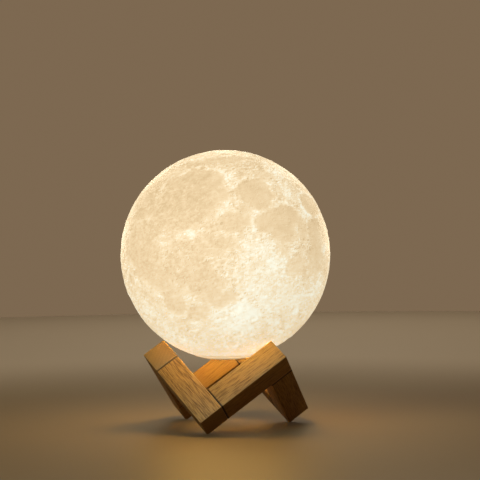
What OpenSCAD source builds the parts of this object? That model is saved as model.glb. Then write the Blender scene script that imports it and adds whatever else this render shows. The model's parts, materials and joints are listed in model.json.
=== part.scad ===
// Moon lamp: a hollow printed globe that rests on an open wooden stand of six square bars.
// Millimetres, +Z up. The origin is on the floor, straight under the globe's centre, and the
// stand's front foot points to -Y.
//
// The six bars follow a closed zigzag of six edges of a cube that stands on one corner. Three
// leg bars run through at the feet and three arm bars run through at the top corners. The stand
// is made as two halves of three glued bars, which push together on two loose dowels.

/* [Globe] */
// Outer diameter of the globe
globe_d = 150; // [130:1:170]
// Wall of the globe
globe_wall = 2; // [1.6:0.1:3]
// Bore of the neck that takes the base module
neck_d = 40; // [39:0.5:42]
// Wall of the collar inside the neck
collar_wall = 2; // [1.2:0.1:3]
// Height of the collar above the flat seat around the neck
collar_h = 11; // [7:0.5:14]
// Width of the flat seat around the neck
seat_w = 3; // [2.6:0.1:4]

/* [Stand] */
// Outer edge of the cube that the bars follow
cube_edge = 74; // [70:0.5:84]
// Side of the square bars
bar_w = 18; // [16:0.5:20]
// Chamfer that eases every edge of a bar
bar_ease = 0.5; // [0.3:0.1:1.5]
// Height sanded off the lowest corner of each foot
foot_flat_h = 1.2; // [0.8:0.1:2.5]
// Gap between the globe and the three corners that carry it
rest_gap = 0.2; // [0.1:0.05:0.5]

/* [Dowels] */
// Diameter of the dowels
dowel_d = 6; // [5:0.5:8]
// Depth of a dowel in the side of a bar
dowel_side_depth = 9; // [7:0.5:11]
// Depth of a dowel in the end of a bar
dowel_end_depth = 11; // [8:0.5:14]
// Chamfer on the ends of a dowel
dowel_chamfer = 0.6; // [0.3:0.1:1]
// Glue gap around a dowel
glue_gap = 0.05; // [0.03:0.01:0.1]
// Running gap around the sliding end of a loose dowel
slide_gap = 0.06; // [0.03:0.01:0.1]
// Space left at the bottom of a dowel hole
hole_end_gap = 0.5; // [0.3:0.1:1]

/* [Base cap] */
// Depth of the cap's flat face below the flat seat
cap_face_depth = 2.8; // [2.4:0.1:3]
// How far the cap's rounded flange stands out of the globe's curve
flange_proud = 0.25; // [0.2:0.05:0.4]
// Width that the flat seat shows around the flange
flange_inset = 0.6; // [0.3:0.1:1.2]
// Thickness of the cap's floor
cap_floor_t = 2.2; // [2:0.1:3]
// Wall of the cap's cup
cap_wall = 1.6; // [1.2:0.1:2]
// Height of the cap's cup above the flat seat
cap_h = 20; // [16:0.5:24]
// Gap between the cap's cup and the collar
cap_gap = 0.2; // [0.1:0.05:0.4]

/* [Power button] */
// Diameter of the button
button_d = 7; // [6:0.2:8]
// How far the button stands out of the cap
button_proud = 0.6; // [0.3:0.1:1.2]
// Travel of the button
button_travel = 0.8; // [0.5:0.1:1]
// Gap around the button
button_gap = 0.2; // [0.15:0.05:0.3]
// Width of the button's lip, which keeps it in the cap
button_lip_w = 1; // [0.8:0.1:1.2]
// Thickness of the button's lip
button_lip_t = 0.9; // [0.7:0.1:1.1]
// Gap between the cap's floor and the button's lip
button_lip_gap = 0.1; // [0.05:0.05:0.2]
// Chamfer on the button's rim
button_chamfer = 0.5; // [0.3:0.1:0.6]
// Distance of the button from the axis, towards the front
button_y = 8; // [7.5:0.1:8.5]

/* [Switch] */
// Side of the switch's square body
switch_w = 6; // [5.5:0.1:6.5]
// Height of the switch's body
switch_h = 3.5; // [3.2:0.1:3.8]
// Diameter of the switch's plunger
plunger_d = 3.5; // [3:0.1:3.8]
// Length of the plunger inside the switch at rest
plunger_in = 1.2; // [1:0.1:1.4]
// Gap around the plunger
plunger_gap = 0.1; // [0.05:0.05:0.15]
// Space left past the plunger when it is pressed
plunger_end_gap = 0.2; // [0.1:0.1:0.3]
// Radius of the switch's upright edges
switch_edge_r = 0.5; // [0.3:0.1:0.8]

/* [Charging socket] */
// Width of the socket's mouth, outside the metal
socket_w = 7.5; // [7:0.1:8]
// Depth of the socket's mouth, outside the metal
socket_t = 2.9; // [2.7:0.1:3.1]
// Thickness of the socket's metal shell
socket_metal = 0.3; // [0.25:0.05:0.35]
// How far the socket's mouth lies inside the cap's face
socket_recess = 0.4; // [0.2:0.1:0.8]
// Gap between the socket and its slot in the cap
socket_gap = 0.3; // [0.2:0.05:0.5]
// Distance of the socket from the axis, towards the back
socket_y = 7; // [6.5:0.1:7.5]
// Radius of the corners of the slot in the cap
socket_slot_r = 0.8; // [0.5:0.1:1.2]
// Size of the cut on the socket's two front corners
socket_bevel = 1; // [0.6:0.1:1.2]
// Length of the socket's contact tongue
tongue_l = 4.4; // [3.5:0.1:5]
// Width of the contact tongue
tongue_w = 3.8; // [3:0.1:4.2]
// Thickness of the contact tongue
tongue_t = 0.6; // [0.5:0.05:0.7]
// How far the tongue's tip lies inside the socket's mouth
tongue_recess = 1; // [0.6:0.1:1.4]
// Gap between the tongue's block and the metal shell
tongue_gap = 0.05; // [0.03:0.01:0.1]

/* [Indicator] */
// Diameter of the light pipe
pipe_d = 2; // [1.6:0.1:2.4]
// Gap around the light pipe
pipe_gap = 0.1; // [0.05:0.05:0.2]
// Height of the indicator's emitter
indicator_h = 0.8; // [0.6:0.1:1.2]
// Gap between the light pipe and the emitter
pipe_end_gap = 0.3; // [0.1:0.1:0.5]

/* [Control board] */
// Free height between the cap's floor and the board
board_drop = 6.4; // [6.2:0.1:7]
// Thickness of the board
board_t = 1.6; // [1.2:0.1:2]
// Gap between the board and the cap's wall
board_gap = 0.6; // [0.4:0.1:1]
// Height of the tallest part on the board's upper side
coil_h = 3; // [2:0.1:3.4]

/* [Battery] */
// Width of the flat battery
battery_w = 20; // [18:0.5:21]
// Length of the flat battery
battery_l = 25; // [23:0.5:26]
// Thickness of the flat battery
battery_t = 8; // [6:0.5:10]
// Radius of the battery's upright edges
battery_r = 2; // [1:0.1:3]
// Thickness of the foam pad under the battery
pad_t = 1; // [0.5:0.1:2]
// Distance of the pad's edge inside the battery's
pad_inset = 1.5; // [1:0.1:3]
// Diameter of a lead over its sleeve
lead_d = 1.2; // [1:0.1:1.4]
// Gap around a lead in its hole
lead_gap = 0.4; // [0.3:0.1:0.6]
// Depth of the plug's sockets for the leads
plug_depth = 1; // [0.8:0.1:1.5]
// Gap around a lead in the plug
plug_gap = 0.1; // [0.05:0.05:0.2]

/* [Inner carrier] */
// Free height between the board and the carrier's shelf
carrier_lift = 4.2; // [4:0.1:6]
// Thickness of the carrier's shelf
shelf_t = 1.6; // [1.4:0.1:2.4]
// Wall of the carrier's ring
carrier_wall = 1.2; // [1:0.1:1.3]
// Gap between the carrier and the cap's cup
carrier_gap = 0.3; // [0.2:0.05:0.4]
// Free height over the battery
battery_headroom = 2; // [1:0.1:4]

/* [Light board] */
// Thickness of the light board
light_board_t = 1.6; // [1:0.1:2]
// Gap between the light board and the carrier's rim
light_board_inset = 0.2; // [0.1:0.1:0.4]
// Number of emitters on the light board
emitter_count = 8; // [6:1:12]
// Radius of the ring of emitters
emitter_ring_r = 11; // [9:0.5:12]
// Height of an emitter
emitter_h = 0.8; // [0.6:0.1:1.2]

/* [Screws] */
// Thread diameter of the case screws
case_screw_d = 2.2; // [2:0.1:2.4]
// Head diameter of the case screws
case_head_d = 4; // [3.6:0.1:4.2]
// Head height of the case screws
case_head_h = 1.2; // [1:0.1:1.3]
// Radius of the ring of case screws
case_ring_r = 14.2; // [14:0.1:14.6]
// Diameter of the bosses around the case screws
case_boss_d = 5.2; // [4.8:0.1:5.4]
// Thread diameter of the light board's screws
light_screw_d = 1.8; // [1.6:0.1:2]
// Head diameter of the light board's screws
light_head_d = 3.4; // [3:0.1:3.6]
// Head height of the light board's screws
light_head_h = 1.1; // [0.9:0.1:1.3]
// Length of the light board's screws under the head
light_screw_l = 7; // [5:0.5:9]
// Distance of the light board's screws from the axis
light_screw_x = 13.4; // [13.2:0.1:13.6]
// Depth of a case screw's head inside the cap's face
head_recess = 0.2; // [0.1:0.1:0.4]
// Distance between a case screw's tip and the top of the carrier's shelf
screw_end_cover = 0.6; // [0.5:0.1:0.8]
// Space left past a screw's tip in its pilot hole
pilot_end_gap = 0.2; // [0.1:0.1:0.3]
// Wall around the pilot holes of the light board's screws
pillar_wall = 1.1; // [1:0.1:1.3]
// Clearance around a screw that passes a hole
screw_pass_gap = 0.3; // [0.2:0.05:0.4]
// Gap between a thread and its pilot hole
thread_gap = 0.03; // [0.02:0.01:0.05]

/* [Hidden] */

$fn = 48; // facets of small round shapes
round_fn = 96; // facets of the globe and of what fits its neck
cut = 1; // how far a cutting shape runs past the face that it cuts

// Globe and stand
globe_r = globe_d / 2;
bar_len = cube_edge - bar_w;
rise = 1 / sqrt(3); // height gained for each unit along a cube edge
floor_h = bar_len * rise + foot_flat_h;

// The globe touches the inner corner of each arm bar's top face. In the cube's frame that
// corner is (a, a, bar_w), and the globe's centre is the point (s, s, s) at globe_r from it.
corner_a = cube_edge - bar_ease;
corner_sum = 2 * corner_a + bar_w;
corner_sq = 2 * corner_a * corner_a + bar_w * bar_w;
rest_r = globe_r + rest_gap;
centre_s = (corner_sum + sqrt(corner_sum * corner_sum - 3 * (corner_sq - rest_r * rest_r))) / 3;
centre_z = centre_s * sqrt(3) - floor_h;

// Dowels
dowel_r = dowel_d / 2;
glued_hole_r = dowel_r + glue_gap;
loose_hole_r = dowel_r + slide_gap;

// Base module, with heights counted from the flat seat around the neck
neck_r = neck_d / 2;
seat_r = neck_r + seat_w;
seat_z = centre_z - sqrt(globe_r * globe_r - seat_r * seat_r);
flange_r = seat_r - flange_inset;
cup_r = neck_r - cap_gap;
cup_in_r = cup_r - cap_wall;
face_z = -cap_face_depth;
floor_z = face_z + cap_floor_t;
board_z = floor_z + board_drop;
board_top = board_z + board_t;
board_r = cup_in_r - board_gap;
shelf_z = board_top + carrier_lift;
shelf_top = shelf_z + shelf_t;
carrier_r = cup_in_r - carrier_gap;
carrier_in_r = carrier_r - carrier_wall;
battery_z = shelf_top + pad_t;
battery_top = battery_z + battery_t;
light_board_z = battery_top + battery_headroom;
light_top = light_board_z + light_board_t;
case_angles = [90, 210, 330];
case_head_z = face_z + case_head_h + head_recess;
case_screw_end = shelf_top - screw_end_cover;

// Button and switch
button_r = button_d / 2;
lip_r = button_r + button_lip_w;
lip_top = floor_z + button_lip_gap + button_lip_t;
button_face = face_z - button_proud;
switch_face = board_z - switch_h;
button_pos = [0, -button_y, 0];

// Charging socket
socket_pos = [0, socket_y, 0];
socket_mouth = face_z + socket_recess;
socket_l = board_z - socket_mouth;

// Indicator
indicator_pos = [-9, 1.5, 0];
indicator_size = [2, 1.25];
pipe_r = pipe_d / 2;
pipe_flange = 0.6;
pipe_end = board_z - indicator_h - pipe_end_gap;

// Parts on the control board's upper side
charger_size = [5, 6.2, 1.6];
charger_pos = [-2, -3, 0];
driver_size = [3, 3, 1.4];
driver_pos = [6, -6, 0];
coil_w = 6;
coil_edge_r = 1.2;
coil_pos = [-11, -0.5, 0];
capacitor_size = [0.8, 1.6, 0.8];
capacitor_pos = [3.2, 1, 0];
capacitor_pitch = 2;
capacitor_count = 4;
chip_ease = 0.15;

// Leads and plug
lead_r = lead_d / 2;
elbow_r = 1;
lead_stand_off = 1.9;
light_lead_y = [4.6, 7.2];
light_lead_x = 12.6;
battery_lead_x = 2;
battery_lead_y = battery_l / 2 + lead_stand_off;
battery_lead_z = battery_z + battery_t / 2;
plug_size = [7, 4.4, 3.4];
plug_ease = 0.2;

// Screws: their heads' edges, tips and crossed slots
head_ease = 0.3;
tip_l = 0.8;
tip_r = 0.3;
slot_w = 0.5;
slot_edge = 0.8; // from a slot's end to the head's rim
slot_depth = 0.5;

// ---- Shared shapes ----

// Puts the cube on its corner: the diagonal becomes upright and the first edge points to -Y
module on_corner() {
    multmatrix([
        [0, sqrt(1 / 2), -sqrt(1 / 2), 0],
        [-sqrt(2 / 3), sqrt(1 / 6), sqrt(1 / 6), 0],
        [rise, rise, rise, -floor_h]
    ])
        children();
}

// Third number k of the stand, counted anticlockwise from the front
module third(k) {
    rotate([0, 0, 120 * k]) on_corner() children();
}

// Rectangle with its four corners cut off
module cut_rect(w, h, c) {
    polygon([
        [c, 0], [w - c, 0], [w, c], [w, h - c],
        [w - c, h], [c, h], [0, h - c], [0, c]
    ]);
}

// Box from the origin with every edge chamfered
module eased_box(size, c) {
    intersection() {
        linear_extrude(size.z) cut_rect(size.x, size.y, c);
        translate([0, size.y, 0]) rotate([90, 0, 0]) linear_extrude(size.y) cut_rect(size.x, size.z, c);
        rotate([90, 0, 90]) linear_extrude(size.x) cut_rect(size.y, size.z, c);
    }
}

// Half-space below the sanded flat of a foot, in the cube's frame
module below_foot() {
    rotate([0, atan(sqrt(2)), 45])
        translate([-bar_len, -bar_len, floor_h - 2 * bar_len])
            cube([2 * bar_len, 2 * bar_len, 2 * bar_len]);
}

// Rod along +Z from the origin with chamfered ends
module dowel(r, length) {
    cylinder(r1 = r - dowel_chamfer, r2 = r, h = dowel_chamfer);
    translate([0, 0, dowel_chamfer]) cylinder(r = r, h = length - 2 * dowel_chamfer);
    translate([0, 0, length - dowel_chamfer])
        cylinder(r1 = r, r2 = r - dowel_chamfer, h = dowel_chamfer);
}

// Rectangle in the middle of the origin with round corners
module round_rect(w, h, r) {
    square([w - 2 * r, h], center = true);
    square([w, h - 2 * r], center = true);
    for (x = [-1, 1], y = [-1, 1])
        translate([x * (w / 2 - r), y * (h / 2 - r)]) circle(r = r);
}

// Places its children in the frame of the base module
module at_seat(z = 0) {
    translate([0, 0, seat_z + z]) children();
}

// Copies its children to the case screws
module at_case_screws() {
    for (a = case_angles)
        rotate([0, 0, a]) translate([case_ring_r, 0, 0]) children();
}

// Copies its children to the light board's screws
module at_light_screws() {
    for (x = [-light_screw_x, light_screw_x])
        translate([x, 0, 0]) children();
}

// ---- Stand ----

// Axis of the foot joint in the cube's frame: an arm bar butts here against a leg bar
module at_foot_joint() {
    translate([cube_edge - bar_w / 2, bar_w, bar_w / 2]) rotate([-90, 0, 0]) children();
}

// Axis of the top joint: the leg bar's own upper end
module at_leg_top() {
    translate([cube_edge - bar_w / 2, bar_w / 2, bar_len]) children();
}

// Axis of the top joint where the next leg bar's end meets the arm bar's side
module at_arm_top() {
    translate([bar_len, cube_edge - bar_w / 2, bar_w / 2]) rotate([0, 90, 0]) children();
}

// Blind hole below a joint's face
module hole_below(r, depth) {
    translate([0, 0, -depth - hole_end_gap]) cylinder(r = r, h = depth + hole_end_gap + cut);
}

// Blind hole above a joint's face
module hole_above(r, depth) {
    translate([0, 0, -cut]) cylinder(r = r, h = depth + hole_end_gap + cut);
}

// Bar that stands on the floor. foot_r is the radius of the hole at its foot.
module leg_bar(foot_r) {
    difference() {
        translate([bar_len, 0, 0]) eased_box([bar_w, bar_w, bar_len], bar_ease);
        below_foot();
        at_foot_joint() hole_below(foot_r, dowel_side_depth);
        at_leg_top() hole_below(glued_hole_r, dowel_end_depth);
    }
}

// Bar that carries the globe. top_r is the radius of the hole in its side.
module arm_bar(top_r) {
    difference() {
        translate([bar_len, bar_w, 0]) eased_box([bar_w, bar_len, bar_w], bar_ease);
        at_foot_joint() hole_above(glued_hole_r, dowel_end_depth);
        at_arm_top() hole_above(top_r, dowel_side_depth);
    }
}

// Dowel of a foot joint: it goes into the leg bar's side and the arm bar's end
module foot_dowel() {
    at_foot_joint() translate([0, 0, -dowel_side_depth]) dowel(dowel_r, dowel_side_depth + dowel_end_depth);
}

// Dowel of a leg bar's upper end: it goes into the leg bar's end and the next arm bar's side
module top_dowel() {
    at_leg_top() translate([0, 0, -dowel_end_depth]) dowel(dowel_r, dowel_side_depth + dowel_end_depth);
}

module left_front_bar() {
    color("#b98d52") third(0) leg_bar(loose_hole_r);
}

module right_front_bar() {
    color("#c39a5e") third(0) arm_bar(glued_hole_r);
}

module right_side_bar() {
    color("#b98d52") third(1) leg_bar(glued_hole_r);
}

module right_back_bar() {
    color("#c39a5e") third(1) arm_bar(loose_hole_r);
}

module left_back_bar() {
    color("#b98d52") third(2) leg_bar(glued_hole_r);
}

module left_side_bar() {
    color("#c39a5e") third(2) arm_bar(glued_hole_r);
}

module left_half_dowels() {
    color("#d9b883") {
        third(0) top_dowel();
        third(2) foot_dowel();
    }
}

module right_half_dowels() {
    color("#d9b883") {
        third(1) top_dowel();
        third(1) foot_dowel();
    }
}

module front_loose_dowel() {
    color("#d9b883") third(0) foot_dowel();
}

module back_loose_dowel() {
    color("#d9b883") third(2) top_dowel();
}

// ---- Globe ----

module moon_shell() {
    color("#f6e7c4") {
        difference() {
            translate([0, 0, centre_z]) sphere(r = globe_r, $fn = round_fn);
            translate([0, 0, centre_z]) sphere(r = globe_r - globe_wall, $fn = round_fn);
            at_seat(-globe_r) cylinder(r = globe_r, h = globe_r, $fn = round_fn);
            at_seat(-cut) cylinder(r = neck_r, h = collar_h, $fn = round_fn);
        }
        at_seat()
            difference() {
                cylinder(r = neck_r + collar_wall, h = collar_h, $fn = round_fn);
                translate([0, 0, -cut]) cylinder(r = neck_r, h = collar_h + 2 * cut, $fn = round_fn);
            }
    }
}

// ---- Base module ----

// Flange of the cap: it carries on the globe's curve down to a flat face
module cap_flange() {
    intersection() {
        translate([0, 0, face_z]) cylinder(r = flange_r, h = cap_face_depth, $fn = round_fn);
        translate([0, 0, centre_z - seat_z]) sphere(r = globe_r + flange_proud, $fn = round_fn);
    }
}

module base_cap() {
    color("#f1efe9")
        at_seat()
            difference() {
                union() {
                    difference() {
                        union() {
                            cap_flange();
                            cylinder(r = cup_r, h = cap_h, $fn = round_fn);
                        }
                        translate([0, 0, floor_z])
                            cylinder(r = cup_in_r, h = cap_h - floor_z + cut, $fn = round_fn);
                    }
                    at_case_screws()
                        translate([0, 0, case_head_z]) cylinder(r = case_boss_d / 2, h = board_z - case_head_z);
                }
                at_case_screws() {
                    translate([0, 0, face_z - cut])
                        cylinder(r = case_screw_d / 2 + screw_pass_gap, h = board_z - face_z + 2 * cut);
                    translate([0, 0, face_z - cut])
                        cylinder(r = case_head_d / 2 + screw_pass_gap, h = case_head_z - face_z + cut);
                }
                translate(button_pos + [0, 0, face_z - cut])
                    cylinder(r = button_r + button_gap, h = cap_floor_t + 2 * cut);
                translate(socket_pos + [0, 0, face_z - cut])
                    linear_extrude(cap_floor_t + 2 * cut)
                        round_rect(socket_w + 2 * socket_gap, socket_t + 2 * socket_gap, socket_slot_r);
                translate(indicator_pos + [0, 0, face_z - cut])
                    cylinder(r = pipe_r + pipe_gap, h = cap_floor_t + 2 * cut);
            }
}

module power_button() {
    color("#e4e1d9")
        at_seat()
            translate(button_pos) {
                translate([0, 0, button_face])
                    cylinder(r1 = button_r - button_chamfer, r2 = button_r, h = button_chamfer);
                translate([0, 0, button_face + button_chamfer])
                    cylinder(r = button_r, h = lip_top - button_face - button_chamfer);
                translate([0, 0, lip_top - button_lip_t]) cylinder(r = lip_r, h = button_lip_t);
            }
}

module switch_plunger() {
    color("#2b2b2d")
        at_seat()
            translate(button_pos + [0, 0, lip_top])
                cylinder(r = plunger_d / 2, h = switch_face + plunger_in - lip_top);
}

module switch_body() {
    color("#3a3a3c")
        at_seat()
            translate(button_pos + [0, 0, switch_face])
                difference() {
                    linear_extrude(switch_h) round_rect(switch_w, switch_w, switch_edge_r);
                    translate([0, 0, -cut])
                        cylinder(
                            r = plunger_d / 2 + plunger_gap,
                            h = plunger_in + button_travel + plunger_end_gap + cut
                        );
                }
}

// Outline of the socket: a rectangle with its two front corners cut off
module socket_outline(inset) {
    w = socket_w / 2 - inset;
    h = socket_t / 2 - inset;
    polygon([
        [-w, h], [-w, socket_bevel - h], [socket_bevel - w, -h],
        [w - socket_bevel, -h], [w, socket_bevel - h], [w, h]
    ]);
}

module socket_shell() {
    color("#b9bcc0")
        at_seat()
            translate(socket_pos + [0, 0, socket_mouth])
                difference() {
                    linear_extrude(socket_l) socket_outline(0);
                    translate([0, 0, -cut]) linear_extrude(socket_l + 2 * cut) socket_outline(socket_metal);
                }
}

module socket_tongue() {
    back_l = socket_l - tongue_l - tongue_recess;
    color("#26262a")
        at_seat()
            translate(socket_pos) {
                translate([0, 0, board_z - back_l])
                    linear_extrude(back_l) socket_outline(socket_metal + tongue_gap);
                translate([-tongue_w / 2, 0, board_z - back_l - tongue_l])
                    cube([tongue_w, tongue_t, tongue_l]);
            }
}

module light_pipe() {
    color("#dfe8ea")
        at_seat()
            translate(indicator_pos) {
                translate([0, 0, face_z]) cylinder(r = pipe_r, h = pipe_end - face_z);
                translate([0, 0, floor_z]) cylinder(r = pipe_r + pipe_flange, h = pipe_flange);
            }
}

module indicator_led() {
    color("#f2e6b0")
        at_seat()
            translate(indicator_pos + [0, 0, board_z - indicator_h])
                linear_extrude(indicator_h) square(indicator_size, center = true);
}

module control_board() {
    color("#2f6b45")
        at_seat(board_z)
            difference() {
                cylinder(r = board_r, h = board_t, $fn = round_fn);
                at_case_screws()
                    translate([0, 0, -cut])
                        cylinder(r = case_screw_d / 2 + screw_pass_gap, h = board_t + 2 * cut);
            }
}

// Charger chip, coil, driver chip and capacitors on the board's upper side
module board_parts() {
    color("#2a2a2c")
        at_seat(board_top) {
            translate(charger_pos) eased_box(charger_size, chip_ease);
            translate(driver_pos) eased_box(driver_size, chip_ease);
            translate(coil_pos) linear_extrude(coil_h) round_rect(coil_w, coil_w, coil_edge_r);
            for (i = [0:capacitor_count - 1])
                translate(capacitor_pos + [capacitor_pitch * i, 0, 0]) cube(capacitor_size);
        }
}

module battery_plug() {
    color("#efece2")
        at_seat(board_top)
            translate([-plug_size.x / 2, -battery_lead_y - plug_size.y / 2, 0])
                difference() {
                    eased_box(plug_size, plug_ease);
                    for (x = [-battery_lead_x, battery_lead_x])
                        translate([plug_size.x / 2 + x, plug_size.y / 2, plug_size.z - plug_depth])
                            cylinder(r = lead_r + plug_gap, h = plug_depth + cut);
                }
}

// Ring and shelf with three feet on the board and two pillars for the light board
module inner_carrier() {
    pillar_r = light_screw_d / 2 + pillar_wall;
    pilot_h = case_screw_end + pilot_end_gap - board_top;
    color("#e9e6dd")
        at_seat()
            difference() {
                union() {
                    translate([0, 0, shelf_z]) cylinder(r = carrier_r, h = shelf_t, $fn = round_fn);
                    difference() {
                        translate([0, 0, shelf_z])
                            cylinder(r = carrier_r, h = light_board_z - shelf_z, $fn = round_fn);
                        translate([0, 0, shelf_top])
                            cylinder(r = carrier_in_r, h = light_board_z, $fn = round_fn);
                    }
                    at_case_screws()
                        translate([0, 0, board_top])
                            cylinder(r = case_boss_d / 2, h = shelf_top - board_top);
                    at_light_screws()
                        translate([0, 0, shelf_z])
                            cylinder(r = pillar_r, h = light_board_z - shelf_z);
                }
                at_case_screws()
                    translate([0, 0, board_top - cut])
                        cylinder(r = case_screw_d / 2 + thread_gap, h = pilot_h + cut);
                at_light_screws()
                    translate([0, 0, light_top - light_screw_l - pilot_end_gap])
                        cylinder(r = light_screw_d / 2 + thread_gap, h = light_screw_l);
                for (y = light_lead_y)
                    translate([-light_lead_x, y, shelf_z - cut])
                        cylinder(r = lead_r + lead_gap, h = shelf_t + 2 * cut);
                for (x = [-battery_lead_x, battery_lead_x])
                    translate([x, -battery_lead_y, shelf_z - cut])
                        cylinder(r = lead_r + lead_gap, h = shelf_t + 2 * cut);
            }
}

module battery_pad() {
    color("#5b5d60")
        at_seat(shelf_top)
            linear_extrude(pad_t) square([battery_w - 2 * pad_inset, battery_l - 2 * pad_inset], center = true);
}

module battery() {
    color("#9fb7c8") at_seat(battery_z) linear_extrude(battery_t) round_rect(battery_w, battery_l, battery_r);
}

// Lead from the battery's front face, over an elbow and down into the plug
module battery_lead(side) {
    straight = battery_lead_y - battery_l / 2 - elbow_r;
    drop_z = board_top + plug_size.z - plug_depth;
    at_seat()
        translate([side * battery_lead_x, -battery_lead_y, 0]) {
            translate([0, elbow_r, battery_lead_z]) rotate([-90, 0, 0])
                cylinder(r = lead_r, h = straight);
            translate([0, elbow_r, battery_lead_z - elbow_r]) rotate([90, 0, -90])
                rotate_extrude(angle = 90) translate([elbow_r, 0]) circle(r = lead_r);
            translate([0, 0, drop_z])
                cylinder(r = lead_r, h = battery_lead_z - elbow_r - drop_z);
        }
}

module battery_red_lead() {
    color("#b3261e") battery_lead(1);
}

module battery_black_lead() {
    color("#1d1d1f") battery_lead(-1);
}

// Pan-head screw that points up, with its head's upper face at the origin
module screw(d, head_d, head_h, length) {
    head_r = head_d / 2;
    slot_l = head_d - 2 * slot_edge;
    difference() {
        union() {
            translate([0, 0, -head_h]) cylinder(r1 = head_r - head_ease, r2 = head_r, h = head_ease);
            translate([0, 0, head_ease - head_h]) cylinder(r = head_r, h = head_h - head_ease);
            cylinder(r = d / 2, h = length - tip_l);
            translate([0, 0, length - tip_l]) cylinder(r1 = d / 2, r2 = tip_r, h = tip_l);
        }
        for (a = [0, 90])
            rotate([0, 0, a])
                translate([-slot_l / 2, -slot_w / 2, -head_h - cut]) cube([slot_l, slot_w, cut + slot_depth]);
    }
}

module case_screws() {
    color("#a9adb1")
        at_seat(case_head_z)
            at_case_screws() screw(case_screw_d, case_head_d, case_head_h, case_screw_end - case_head_z);
}

module light_board() {
    color("#e8eaec")
        at_seat(light_board_z)
            difference() {
                cylinder(r = carrier_r - light_board_inset, h = light_board_t, $fn = round_fn);
                at_light_screws()
                    translate([0, 0, -cut])
                        cylinder(r = light_screw_d / 2 + screw_pass_gap, h = light_board_t + 2 * cut);
            }
}

module light_emitters() {
    emitter = [3.5, 2.8];
    color("#f4dc7a")
        at_seat(light_top)
            for (i = [0:emitter_count - 1])
                rotate([0, 0, 360 * (i + 0.5) / emitter_count])
                    translate([emitter_ring_r, 0, 0]) linear_extrude(emitter_h) square(emitter, center = true);
}

module light_board_screws() {
    color("#a9adb1")
        at_seat(light_top)
            at_light_screws()
                rotate([180, 0, 0]) screw(light_screw_d, light_head_d, light_head_h, light_screw_l);
}

module light_leads() {
    color("#e9e9e9")
        at_seat(board_top)
            for (y = light_lead_y)
                translate([-light_lead_x, y, 0]) cylinder(r = lead_r, h = light_board_z - board_top);
}

moon_shell();
left_front_bar();
right_front_bar();
right_side_bar();
right_back_bar();
left_back_bar();
left_side_bar();
left_half_dowels();
right_half_dowels();
front_loose_dowel();
back_loose_dowel();
base_cap();
power_button();
switch_plunger();
switch_body();
socket_shell();
socket_tongue();
light_pipe();
indicator_led();
control_board();
board_parts();
battery_plug();
inner_carrier();
battery_pad();
battery();
battery_red_lead();
battery_black_lead();
case_screws();
light_board();
light_emitters();
light_board_screws();
light_leads();
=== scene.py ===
"""Moon lamp: a printed globe that glows on an open stand of six square wooden bars.

The globe and the bars are remade here round their CAD solids, with their real surface. Every
other CAD piece keeps its shape and gets its finish. Lengths are in metres.
"""

import json
import math

import bmesh
import bpy
import numpy as np
from mathutils import Matrix, Vector, noise

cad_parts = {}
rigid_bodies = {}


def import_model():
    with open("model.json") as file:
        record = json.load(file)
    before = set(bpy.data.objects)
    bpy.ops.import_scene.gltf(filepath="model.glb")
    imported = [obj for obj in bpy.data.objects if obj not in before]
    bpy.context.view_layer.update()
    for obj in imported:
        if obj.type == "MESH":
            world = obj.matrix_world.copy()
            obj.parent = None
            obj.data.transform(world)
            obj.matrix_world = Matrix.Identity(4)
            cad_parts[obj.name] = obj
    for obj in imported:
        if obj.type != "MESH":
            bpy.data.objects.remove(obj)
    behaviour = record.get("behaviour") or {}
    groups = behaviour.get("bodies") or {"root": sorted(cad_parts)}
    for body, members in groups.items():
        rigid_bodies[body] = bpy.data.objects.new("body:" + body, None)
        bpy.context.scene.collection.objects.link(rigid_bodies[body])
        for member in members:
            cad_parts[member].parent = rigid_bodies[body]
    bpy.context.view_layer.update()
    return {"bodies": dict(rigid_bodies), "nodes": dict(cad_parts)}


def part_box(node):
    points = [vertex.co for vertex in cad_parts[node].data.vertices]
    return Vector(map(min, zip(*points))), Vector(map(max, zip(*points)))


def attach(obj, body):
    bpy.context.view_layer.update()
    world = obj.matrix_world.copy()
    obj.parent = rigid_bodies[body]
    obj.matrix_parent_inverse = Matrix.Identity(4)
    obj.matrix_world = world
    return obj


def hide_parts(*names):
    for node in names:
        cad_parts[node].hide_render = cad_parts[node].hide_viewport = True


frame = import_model()

MM = 0.001

# ---- Globe, measured on its CAD solid ----

shell_low, shell_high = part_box("moon_shell")
GLOBE_R = (shell_high.x - shell_low.x) / 2
GLOBE_CENTRE = Vector((0, 0, shell_high.z - GLOBE_R))
SEAT_Z = shell_low.z


# ---- Camera ----

# Fitted to the photograph: where the camera is, seen from the globe's middle, and how it is aimed
CAMERA_DISTANCE = 0.906
CAMERA_AZIMUTH = math.radians(17.74)
CAMERA_ELEVATION = math.radians(0.24)
AIM_AZIMUTH = math.radians(17.07)
AIM_ELEVATION = math.radians(-0.42)
CAMERA_ROLL = math.radians(-0.78)
CAMERA_LENS = 94.65
CAMERA_CLIP = 0.05


def outward(azimuth, elevation):
    """Direction from the lamp to a viewer at that azimuth and elevation."""
    level = math.cos(elevation)
    return Vector((math.sin(azimuth) * level, -math.cos(azimuth) * level, math.sin(elevation)))


def turned_axes(azimuth, elevation, roll):
    """Right, up and backward axes of an eye that looks from there, rolled anticlockwise."""
    back = outward(azimuth, elevation)
    level_right = Vector((math.cos(azimuth), math.sin(azimuth), 0))
    level_up = back.cross(level_right)
    right = level_right * math.cos(roll) + level_up * math.sin(roll)
    return right, back.cross(right), back


def link(name, data):
    """Object in the scene, made of a mesh, a lamp or a camera."""
    obj = bpy.data.objects.new(name, data)
    bpy.context.scene.collection.objects.link(obj)
    return obj


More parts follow.
